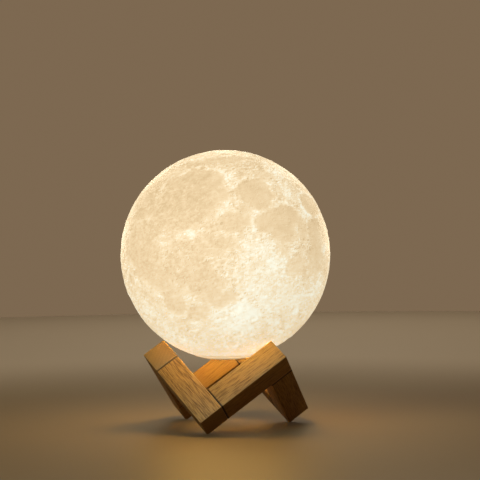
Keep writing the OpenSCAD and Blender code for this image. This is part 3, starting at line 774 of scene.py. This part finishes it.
def moon_skin():
    """Printed skin: seas, uplands, rays and small pits glow by the thickness of the wall."""
    skin = Finish("moon skin")
    axes = Matrix(turned_axes(MAP_AZIMUTH, MAP_ELEVATION, MAP_LEAN))
    turned = {"Vector": skin.place, "Location": -(axes @ GLOBE_CENTRE), "Rotation": axes.to_euler()}
    place = skin.add("ShaderNodeMapping", {"vector_type": "POINT"}, turned)

    # Noises and shares that the tone is mixed from
    mare = skin.attribute("mare")
    ragged = skin.noise(place, SHORE_CELLS, 5, 0.62)
    mare = skin.maths("ADD", mare, ragged * 3.0 * mare * (1.0 - mare), clamp=True)
    land = 1.0 - mare
    mottle = skin.noise(place, MOTTLE_CELLS, 4, 0.6)
    patches = skin.noise(place, PATCH_CELLS, 5, 0.75)
    # Painted shade of the fine relief: pits and grit lit from the map's north-west, one side bright
    # and the other dark
    towards_light = fine_height(skin, skin.vectors("ADD", place, LIGHT_SHIFT))
    painted_relief_shade = fine_height(skin, place) - towards_light
    crease = 1.0 - abs(skin.noise(place, CREASE_CELLS, 3, 0.55)).step(0.0, 0.08)
    creases = crease * patches.step(-0.15, 0.10)
    layers = skin.noise(skin.place, LAYER_CELLS, 2, 0.5)
    east = skin.part(place, "X").step(*WEST_FADE)
    height = (skin.part(skin.place, "Z") - SEAT_Z) / (2 * GLOBE_R)
    low_glow = 1.0 - height.step(0.0, 0.8)
    uplands = skin.attribute("upland") + skin.attribute("rays") + skin.attribute("fresh") * 0.6

    # The tone, from the thickest print at 0 to the thinnest at 1, with painted shade of the relief
    # added
    tone = 0.13 + land * (0.22 + mottle * 0.7 + patches * 1.8 + painted_relief_shade)
    tone = tone - (land + 0.3) * creases * 0.22
    tone = tone + mare * (mottle * 0.4 + patches * (1.1 - east * 0.75) + painted_relief_shade * 0.3)
    tone = tone + east * (0.015 + mare * 0.085)
    tone = tone + uplands * (0.40 + mottle * 0.5 + patches * 0.25)
    # Painted shade: the relief's slopes, lit from the map's north-west, brighten and darken the
    # glow
    tone = tone + skin.attribute("hill") * 0.8 + layers * 0.06 + low_glow * 0.25

    glow = skin.add("ShaderNodeValToRGB", {"stops": GLOW_STOPS}, {"Fac": tone}, "Color")
    relief = painted_relief_shade * 0.5 + patches * 0.8 + layers * 0.3
    return skin.done(
        Base_Color=skin.mixed(tone, PRINT_DARK, PRINT_PALE),
        Roughness=0.62 + patches * 0.2,
        Emission_Color=skin.mixed(skin.attribute("lit"), SEAT_GLOW, glow),
        Emission_Strength=1.0,
        Normal=skin.bumped(relief, 0.25 * MM, 0.6),
    )


# ---- Stand ----

# Frame of the cube that the bars follow, as columns: it stands on one corner
CUBE_AXES = Matrix((
    (0, math.sqrt(1 / 2), -math.sqrt(1 / 2)),
    (-math.sqrt(2 / 3), math.sqrt(1 / 6), math.sqrt(1 / 6)),
    (math.sqrt(1 / 3), math.sqrt(1 / 3), math.sqrt(1 / 3)),
))
LONG_X, LONG_Y, LONG_Z = range(3)

# Turn that lays an upright rod along each axis
QUARTER = math.radians(90)
ROD_TURNS = (
    Matrix.Rotation(QUARTER, 4, "Y"),
    Matrix.Rotation(QUARTER, 4, "X"),
    Matrix.Identity(4),
)

EDGE_ROUND = 0.55 * MM
EDGE_HIGHLIGHT_DEPTHS = (0.3 * EDGE_ROUND, 0.95 * EDGE_ROUND)  # depths between which the painted highlight of an edge fades
BAR_CREASE = math.radians(35)
DOWEL_DEPTH_SIDE = 9.5 * MM
DOWEL_DEPTH_END = 11.5 * MM
DOWEL_HOLE_R = 3.05 * MM
JOINT_REACH = (-1.5 * MM, -0.8 * MM)  # where the painted shade of a butting end sets in
WOOD_PALE = (0.475, 0.278, 0.068)
WOOD_DARK = (0.15, 0.068, 0.012)
JOINT_SHADE = (0.03, 0.012, 0.003)
EDGE_HIGHLIGHT = (0.66, 0.47, 0.24)
RING_WIDTH = 2.6 * MM
RING_DRIFT = 5.0 * MM

# Cells to the metre of the log's noises: along the grain, and twice across it
DRIFT_CELLS = (9, 45, 45)
STREAK_CELLS = (9, 200, 200)
FIBRE_CELLS = (110, 1850, 1850)
FLECK_CELLS = (300, 1900, 1900)

# Each bar: its body, its third of the stand, its long axis in the cube's frame, where the log's
# heart lies across the bar in millimetres, how far along the log it was cut in metres, its tone
# and how strong its grain is
BARS = {
    "left_front_bar": ("left_half", 0, LONG_Z, (46, 31), 0.0, 0.48, 1.0),
    "right_front_bar": ("right_half", 0, LONG_Y, (-38, 52), 0.21, 0.78, 1.0),
    "right_side_bar": ("right_half", 1, LONG_Z, (27, -58), 0.47, 0.36, 0.8),
    # The back bars' weaker grain is painted light: it stands for the globe's strong glow washing
    # out their faces
    "right_back_bar": ("right_half", 1, LONG_Y, (61, 22), 0.66, 0.55, 0.6),
    "left_back_bar": ("left_half", 2, LONG_Z, (-33, -44), 0.93, 0.66, 0.45),
    "left_side_bar": ("left_half", 2, LONG_Y, (52, -29), 1.18, 0.45, 0.8),
}


def third_axes(third):
    """The cube's frame, turned to that third of the stand."""
    return Matrix.Rotation(math.radians(120 * third), 3, "Z") @ CUBE_AXES


def cube_box(node, axes):
    """Lowest and highest corner of a CAD node in the cube's frame."""
    points = mesh_points(frame["nodes"][node].data) @ np.array(axes)
    return Vector(points.min(axis=0)), Vector(points.max(axis=0))


def bar_holes(long_axis, low, high):
    """Dowel holes of a bar as (axis, a point in its mouth, direction, depth), in the cube's
    frame: one in its end and one in its side."""
    half_width = (high.x - low.x) / 2
    middle = (low + high) / 2
    if long_axis == LONG_Z:
        side = Vector((middle.x, high.y, low.z + half_width))
        end = Vector((middle.x, middle.y, high.z))
        return [(LONG_Y, side, -1, DOWEL_DEPTH_SIDE), (LONG_Z, end, -1, DOWEL_DEPTH_END)]
    end = Vector((middle.x, low.y, middle.z))
    side = Vector((low.x, high.y - half_width, middle.z))
    return [(LONG_Y, end, 1, DOWEL_DEPTH_END), (LONG_X, side, 1, DOWEL_DEPTH_SIDE)]


def hole_cutter(holes):
    """Mesh of the rods that cut a bar's dowel holes; each stands a millimetre out of its mouth."""
    bm = bmesh.new()
    for axis, mouth, side, depth in holes:
        length = depth + MM
        middle = mouth.copy()
        middle[axis] += side * (length / 2 - MM)
        bmesh.ops.create_cone(
            bm, cap_ends=True, segments=40, radius1=DOWEL_HOLE_R, radius2=DOWEL_HOLE_R,
            depth=length, matrix=Matrix.Translation(middle) @ ROD_TURNS[axis],
        )
    return link("hole_cutter", pour(bm, bpy.data.meshes.new("hole_cutter")))


def eased_block(name, low, high):
    """Block between two corners, with rounded edges."""
    bm = bmesh.new()
    bmesh.ops.create_cube(bm, size=1.0)
    for v in bm.verts:
        v.co = Vector([low[i] + (v.co[i] + 0.5) * (high[i] - low[i]) for i in range(3)])
    rounding = {"offset": EDGE_ROUND, "segments": 3, "profile": 0.5}
    bmesh.ops.bevel(bm, geom=bm.edges[:], affect="EDGES", **rounding)
    return pour(bm, bpy.data.meshes.new(name))


def build_bar(name, body, third, long_axis, heart, along, tone, grain):
    axes = third_axes(third)
    low, high = cube_box(name, axes)
    bar = link("wooden_" + name, eased_block(name, low, high))
    cutter = hole_cutter(bar_holes(long_axis, low, high))
    drill = bar.modifiers.new("holes", "BOOLEAN")
    drill.object = cutter
    drill.solver = "EXACT"
    made_plain(bar)
    bpy.data.objects.remove(cutter)
    stand_on_floor(bar.data, axes)
    add_grain(bar.data, axes, long_axis, heart, along)
    bar.data.shade_smooth()
    bar.data.set_sharp_from_angle(angle=BAR_CREASE)
    bar.data.materials.clear()
    bar.data.materials.append(wood(name, tone, grain, axes.col[long_axis]))
    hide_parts(name)
    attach(bar, body)


def stand_on_floor(mesh, axes):
    """Turns a bar from the cube's frame to the lamp's, and sands its foot flat on the floor."""
    mesh.transform(axes.to_4x4())
    bm = bmesh.new()
    bm.from_mesh(mesh)
    if min(v.co.z for v in bm.verts) < 0:
        bmesh.ops.holes_fill(bm, edges=opened_below(bm, 0))
    bmesh.ops.recalc_face_normals(bm, faces=bm.faces)
    pour(bm, mesh)


def add_grain(mesh, axes, long_axis, heart, along):
    """Stores each point's place in the log that the bar was cut from, how far it is past the
    end that butts against another bar, which is below zero all along the bar, and how far round
    an eased edge it lies."""
    points = mesh_points(mesh) @ np.array(axes)
    lowest, highest = points.min(axis=0), points.max(axis=0)
    middle = (lowest + highest) / 2
    across = [i for i in range(3) if i != long_axis]
    log = np.empty_like(points)
    log[:, 0] = points[:, long_axis] - middle[long_axis] + along
    for column, axis, offset in zip((1, 2), across, heart):
        log[:, column] = points[:, axis] - middle[axis] + offset * MM
    attribute = mesh.attributes.new("log", "FLOAT_VECTOR", "POINT")
    attribute.data.foreach_set("vector", log.astype(np.float32).ravel())
    reach = points[:, long_axis]
    store(mesh, "joint", reach - reach.max() if long_axis == LONG_Z else reach.min() - reach)
    depths = np.sort(np.minimum(points - lowest, highest - points), axis=1)
    store(mesh, "edge", 1 - smooth(depths[:, 1], *EDGE_HIGHLIGHT_DEPTHS))


def wood(name, tone, grain, along):
    """Oiled beech: fine long fibres, short dark flecks and faint rings, in the log's own frame.
    The grain is fainter on the ends, which face along the bar."""
    finish = Finish("wood " + name.replace("_", " "))
    log = finish.attribute("log", "Vector")
    from_heart = finish.vectors("LENGTH", finish.vectors("MULTIPLY", log, (0.0, 1.0, 1.0)))
    drift = finish.noise(log, DRIFT_CELLS, 3)
    year = finish.maths("FRACT", (from_heart + drift * RING_DRIFT) / RING_WIDTH)
    late = year.step(0.35, 0.95) * (1.0 - year.step(0.95, 1.0))
    fibre = finish.noise(log, FIBRE_CELLS, 2, 0.6)
    streak = finish.noise(log, STREAK_CELLS)
    fleck = finish.noise(log, FLECK_CELLS).step(0.04, 0.18)
    joint = finish.attribute("joint").step(*JOINT_REACH)
    normal = finish.add("ShaderNodeTexCoord", {}, {}, "Normal")
    on_end = abs(finish.vectors("DOT_PRODUCT", normal, tuple(along))).step(0.5, 0.9)
    strength = grain * (1.0 - on_end * 0.7)
    shade = late * 0.10 + (fibre * 3.3 + streak * 0.4 + fleck * 0.3) * strength
    colour = finish.mixed(shade + (0.55 - 0.5 * tone), WOOD_PALE, WOOD_DARK)
    # Painted highlight along the eased edges
    colour = finish.mixed(finish.attribute("edge") * (0.55 + fleck * 0.2), colour, EDGE_HIGHLIGHT)
    relief = fibre * 0.6 - fleck * 0.8 + late * 0.1
    return finish.done(
        # Painted shade in the gap where a bar's end butts against another bar
        Base_Color=finish.mixed(joint * 0.95, colour, JOINT_SHADE),
        Roughness=0.50 + fibre * 0.25 + fleck * 0.1,
        Normal=finish.bumped(relief, 0.12 * MM, 0.7),
    )


# ---- Finishes of the CAD pieces ----

CAP_PALE = (0.83, 0.82, 0.78)
CAP_DULL = (0.75, 0.74, 0.70)
CAP_RIM = (11 * MM, 21 * MM)  # distances from the axis between which the cap starts to glow
CAP_DARK = (0.05, 0.032, 0.016)
CAP_GLOW = (0.66, 0.52, 0.31)
DOWEL_PALE = (0.66, 0.47, 0.25)
DOWEL_DARK = (0.46, 0.29, 0.13)
PIPE_PALE = (0.80, 0.88, 0.90)
PIPE_DULL = (0.68, 0.77, 0.80)
GEL_PALE = (0.90, 0.68, 0.20)
GEL_DEEP = (0.82, 0.56, 0.14)
GEL_GLOW = (1.0, 0.72, 0.34)
GEL_GLOW_DEEP = (1.0, 0.64, 0.26)
FOAM_PALE = (0.14, 0.145, 0.15)
FOAM_DARK = (0.07, 0.072, 0.076)
FOIL_PALE = (0.58, 0.64, 0.69)
FOIL_DULL = (0.42, 0.48, 0.54)


def darker(colour, share):
    return tuple(share * c for c in colour)


def plastic(name, pale, dull, roughness, texture=0.25 * MM):
    """Moulded plastic: a fine spark-eroded texture and a slight unevenness of colour."""
    finish = Finish(name)
    cloud = finish.noise(finish.place, 70, 3)
    grain = finish.noise(finish.place, 1 / texture, 3, 0.6)
    finish.done(
        Base_Color=finish.mixed(0.5 + cloud * 1.2 + grain * 0.3, pale, dull),
        Roughness=roughness + grain * 0.2,
        Normal=finish.bumped(grain, 0.02 * MM),
    )
    return finish


def moulded(name, colour, *look):
    return plastic(name, colour, darker(colour, 0.90), *look).material


def cap_plastic():
    """The cap's own pale plastic, which the light inside shines through, most at its rim."""
    finish = plastic("cap plastic", CAP_PALE, CAP_DULL, 0.42)
    across = finish.vectors("MULTIPLY", finish.place, (1.0, 1.0, 0.0))
    rim = finish.vectors("LENGTH", across).step(*CAP_RIM)
    return finish.done(
        Emission_Color=finish.mixed(rim, CAP_DARK, CAP_GLOW), Emission_Strength=1.0
    )


def brushed_metal(name, colour, roughness):
    """Plated metal with fine turning marks and a few dull spots."""
    finish = Finish(name)
    marks = finish.noise(finish.place, (400, 400, 9000), 3, 0.6)
    spots = finish.noise(finish.place, 900, 3)
    return finish.done(
        Base_Color=finish.mixed(0.5 + marks + spots * 0.6, colour, darker(colour, 0.78)),
        Metallic=1.0,
        Roughness=roughness + marks * 0.2 + spots * 0.1,
        Normal=finish.bumped(marks, 0.01 * MM),
    )


def dowel_wood():
    """Turned dowel: short fibres that look alike whichever way the dowel lies."""
    finish = Finish("dowel wood")
    fibre = finish.noise(finish.place, (700, 700, 500), 4, 0.65)
    cloud = finish.noise(finish.place, 120)
    return finish.done(
        Base_Color=finish.mixed(0.4 + fibre * 0.9 + cloud * 0.5, DOWEL_PALE, DOWEL_DARK),
        Roughness=0.6 + fibre * 0.2,
        Normal=finish.bumped(fibre, 0.05 * MM),
    )


def clear_plastic():
    """Slightly hazy clear plastic."""
    finish = Finish("clear plastic")
    haze = finish.noise(finish.place, 600)
    return finish.done(
        Base_Color=finish.mixed(0.5 + haze, PIPE_PALE, PIPE_DULL),
        Roughness=0.12 + haze * 0.1,
        Transmission_Weight=0.4,
    )


def emitter_gel():
    """Yellow gel over the emitters, with its own warm glow."""
    finish = Finish("emitter gel")
    cloud = finish.noise(finish.place, 900)
    return finish.done(
        Base_Color=finish.mixed(0.5 + cloud, GEL_PALE, GEL_DEEP),
        Roughness=0.35 + cloud * 0.1,
        Emission_Color=finish.mixed(0.5 + cloud, GEL_GLOW, GEL_GLOW_DEEP),
        Emission_Strength=1.5,
    )


def circuit_board(name, mask, track):
    """Solder mask over copper tracks, with a faint weave of the glass cloth below."""
    finish = Finish(name)
    flat = finish.vectors("MULTIPLY", finish.place, (1.0, 1.0, 0.05))
    copper = 1.0 - finish.cells(flat, 300.0, "DISTANCE_TO_EDGE").step(0.03, 0.07)
    weave = finish.noise(finish.place, (2200, 300, 300))
    return finish.done(
        Base_Color=finish.mixed(copper * 0.8 + weave * 0.4, mask, track),
        Roughness=0.32 + weave * 0.15,
        Normal=finish.bumped(copper + weave * 0.3, 0.03 * MM),
    )


def foam():
    """Open-celled grey foam."""
    finish = Finish("foam")
    cells = finish.cells(finish.place, 1800.0)
    return finish.done(
        Base_Color=finish.mixed(cells.step(0.1, 0.7), FOAM_PALE, FOAM_DARK),
        Roughness=0.9 - cells * 0.1,
        Normal=finish.bumped(cells, 0.15 * MM),
    )


def foil():
    """Soft aluminium wrap of the battery, slightly creased."""
    finish = Finish("battery foil")
    crease = finish.noise(finish.place, (160, 256, 160), 4, 0.7)
    fine = finish.noise(finish.place, 1500)
    return finish.done(
        Base_Color=finish.mixed(0.5 + crease, FOIL_PALE, FOIL_DULL),
        Metallic=0.7,
        Roughness=0.36 + crease * 0.2 + fine * 0.1,
        Normal=finish.bumped(crease + fine * 0.1, 0.15 * MM),
    )


def dress_cad_pieces():
    """Gives every CAD piece that is shown its finish."""
    carrier = moulded("carrier plastic", (0.78, 0.76, 0.70), 0.5)
    steel = brushed_metal("screw steel", (0.62, 0.63, 0.65), 0.3)
    dowels = dowel_wood()
    finishes = {
        "left_half_dowels": dowels,
        "right_half_dowels": dowels,
        "front_loose_dowel": dowels,
        "back_loose_dowel": dowels,
        "base_cap": cap_plastic(),
        "power_button": moulded("button plastic", (0.72, 0.71, 0.67), 0.36),
        "switch_plunger": moulded("switch black", (0.025, 0.025, 0.028), 0.4),
        "switch_body": moulded("switch grey", (0.045, 0.045, 0.05), 0.45),
        "socket_shell": brushed_metal("plated steel", (0.70, 0.71, 0.73), 0.24),
        "socket_tongue": moulded("contact plastic", (0.02, 0.02, 0.024), 0.5),
        "light_pipe": clear_plastic(),
        "indicator_led": moulded("indicator resin", (0.80, 0.74, 0.46), 0.3),
        "control_board": circuit_board("board green", (0.03, 0.14, 0.06), (0.08, 0.26, 0.11)),
        "board_parts": moulded("chip black", (0.03, 0.03, 0.033), 0.5, 0.12 * MM),
        "battery_plug": moulded("plug nylon", (0.80, 0.78, 0.70), 0.48),
        "inner_carrier": carrier,
        "battery_pad": foam(),
        "battery": foil(),
        "battery_red_lead": moulded("lead red", (0.50, 0.03, 0.02), 0.4),
        "battery_black_lead": moulded("lead black", (0.02, 0.02, 0.022), 0.4),
        "case_screws": steel,
        "light_board": circuit_board("white board", (0.82, 0.83, 0.84), (0.72, 0.73, 0.74)),
        "light_emitters": emitter_gel(),
        "light_board_screws": steel,
        "light_leads": moulded("lead white", (0.80, 0.80, 0.79), 0.4),
    }
    for name, material in finishes.items():
        data = frame["nodes"][name].data
        data.materials.clear()
        data.materials.append(material)


# ---- Floor and light ----

FLOOR_R = 1.6
FLOOR_PALE = (0.29, 0.225, 0.125)
FLOOR_DULL = (0.265, 0.205, 0.115)
FLOOR_FAR = (0.80, 0.71, 0.58)
FLOOR_FADE = (0.2, 0.6)  # distances from the lamp between which the floor turns paler

# Room light: beyond the lamp, on the camera's side and from below, and between which cosines to
# the view and which heights of a direction it turns from one to the other
WORLD_FAR = (0.205, 0.140, 0.082)
WORLD_NEAR = (0.035, 0.023, 0.013)
WORLD_BELOW = (0.066, 0.028, 0.008)
WORLD_SIDES = (-0.2, 0.6)
WORLD_DIP = (-0.30, -0.16)

STUDIO_WARM = (1.0, 0.86, 0.66)
SOFTBOX_WHITE = (1.0, 0.95, 0.72)
GLOW_WARM = (1.0, 0.49, 0.035)

# Softboxes: place, power, colour and size, then the objects that each one lights alone, or
# with EXCLUDE those that it leaves dark
SOFTBOXES = {
    "softbox": (
        (-0.10, -1.36, 1.22), 12.8, SOFTBOX_WHITE, 0.7, "EXCLUDE", ("printed_globe", "floor")
    ),
    "floor_softbox": ((-0.95, -1.40, 0.62), 9.0, SOFTBOX_WHITE, 0.8, "INCLUDE", ("floor",)),
    "front_softbox": ((-0.2, -1.50, 0.75), 11.0, STUDIO_WARM, 0.8, "INCLUDE", ("printed_globe",)),
    "back_softbox": ((-0.3, 1.3, 1.0), 2.6, STUDIO_WARM, 0.8, "INCLUDE", ("floor",)),
    "top_softbox": ((-0.2, 0.1, 1.5), 0.7, STUDIO_WARM, 1.2, "EXCLUDE", ()),
}

SHADOWLESS = ("back_softbox",)  # their shadows would fall towards the camera

RIM_TURNS = (-30, 10, 50, 90, 130, 170, 210)  # degrees round the edge from its right end
RIM_ANGLE = math.radians(28)
RIM_DISTANCE = 1.2
RIM_BEAM_R = 45 * MM
RIM_POWER = 13
RIM_LAMP_R = 0.02

# The globe's own lamps, each on the seat: power and radius
STAND_GLOW = (0.62, 48 * MM)
FLOOR_GLOW = (0.50, 45 * MM)


def add_floor():
    """Pale floor. It throws no light up: the room's light from below stands in for that."""
    bm = bmesh.new()
    bmesh.ops.create_circle(bm, cap_ends=True, segments=128, radius=FLOOR_R)
    floor = link("floor", pour(bm, bpy.data.meshes.new("floor")))
    finish = Finish("pale floor")
    near = finish.mixed(0.5 + finish.noise(finish.place, 6, 3), FLOOR_PALE, FLOOR_DULL)
    from_lamp = finish.vectors("LENGTH", finish.place)
    colour = finish.mixed(from_lamp.step(*FLOOR_FADE), near, FLOOR_FAR)
    floor.data.materials.append(finish.done(Base_Color=colour, Roughness=0.55))
    floor.visible_diffuse = False


def add_world():
    """Room light that is brightest beyond the lamp, as the photograph's camera sees it."""
    world = bpy.data.worlds.new("studio")
    world.use_nodes = True
    room = Tree(world.node_tree)
    direction = room.add("ShaderNodeTexCoord", {}, {}, "Generated")
    away = tuple(-outward(CAMERA_AZIMUTH, 0))
    beyond = room.vectors("DOT_PRODUCT", direction, away).step(*WORLD_SIDES)
    above = room.part(direction, "Z").step(*WORLD_DIP)
    colour = room.mixed(above, WORLD_BELOW, room.mixed(beyond, WORLD_NEAR, WORLD_FAR))
    room.feed(room.tree.nodes["Background"].inputs["Color"], colour)
    bpy.context.scene.world = world
    bpy.context.scene.view_settings.view_transform = "Standard"


def light_set(name, objects, state="INCLUDE"):
    """Collection that makes a lamp light those objects alone, or everything but them."""
    group = bpy.data.collections.new(name)
    for obj in objects:
        group.objects.link(obj)
    for entry in group.collection_objects:
        entry.light_linking.link_state = state
    return group


def add_light(name, kind, place, power, colour, lit=None, **settings):
    """Lamp that faces the globe's middle and lights a set of objects, or all of them."""
    data = bpy.data.lights.new(name, kind)
    data.energy = power
    data.color = colour
    for key, value in settings.items():
        setattr(data, key, value)
    light = link(name, data)
    light.location = place
    light.rotation_mode = "QUATERNION"
    light.rotation_quaternion = (Vector(place) - GLOBE_CENTRE).to_track_quat("Z", "Y")
    light.light_linking.receiver_collection = lit
    return light


def add_softboxes():
    for name, (place, power, colour, size, state, pieces) in SOFTBOXES.items():
        objects = [bpy.data.objects[piece] for piece in pieces]
        lit = light_set(name + "_lit", objects, state) if objects else None
        look = {"shape": "SQUARE", "size": size, "use_shadow": name not in SHADOWLESS}
        add_light(name, "AREA", place, power, colour, lit, **look)


def add_rim_lights():
    """Narrow spots behind the globe that brighten its edge alone, as the camera sees it."""
    right, up, back = turned_axes(CAMERA_AZIMUTH, CAMERA_ELEVATION, 0)
    lit = light_set("rim_spots_lit", [bpy.data.objects["printed_globe"]])
    beam = {
        "shadow_soft_size": RIM_LAMP_R,
        "spot_size": 2 * math.atan(RIM_BEAM_R / RIM_DISTANCE),
        "spot_blend": 1.0,
    }
    for turn in RIM_TURNS:
        side = right * math.cos(math.radians(turn)) + up * math.sin(math.radians(turn))
        edge = GLOBE_CENTRE + side * GLOBE_R
        place = edge + (side * math.sin(RIM_ANGLE) - back * math.cos(RIM_ANGLE)) * RIM_DISTANCE
        lamp = add_light("rim_spot", "SPOT", place, RIM_POWER, STUDIO_WARM, lit, **beam)
        lamp.rotation_quaternion = (place - edge).to_track_quat("Z", "Y")


def add_inner_glow():
    """The globe's own light, which its skin doesn't shade: a strong lamp for the stand, and a
    weaker one for the floor, so that the floor stays dim."""
    bars = [bpy.data.objects["wooden_" + name] for name in BARS]
    stand = light_set("stand_glow_lit", [*bars, frame["nodes"]["base_cap"]])
    ground = light_set("floor_glow_lit", [bpy.data.objects["floor"]])
    for name, (power, radius), lit in (
        ("stand_glow", STAND_GLOW, stand),
        ("floor_glow", FLOOR_GLOW, ground),
    ):
        place = (0, 0, SEAT_Z + radius)
        lamp = add_light(name, "POINT", place, power, GLOW_WARM, lit, shadow_soft_size=radius)
        lamp.data.cycles.use_multiple_importance_sampling = False
        lamp.parent = frame["bodies"]["globe"]
        lamp.light_linking.blocker_collection = stand


add_camera()
build_globe()
for bar_name, bar in BARS.items():
    build_bar(bar_name, *bar)
dress_cad_pieces()
add_floor()
add_world()
add_softboxes()
add_rim_lights()
add_inner_glow()
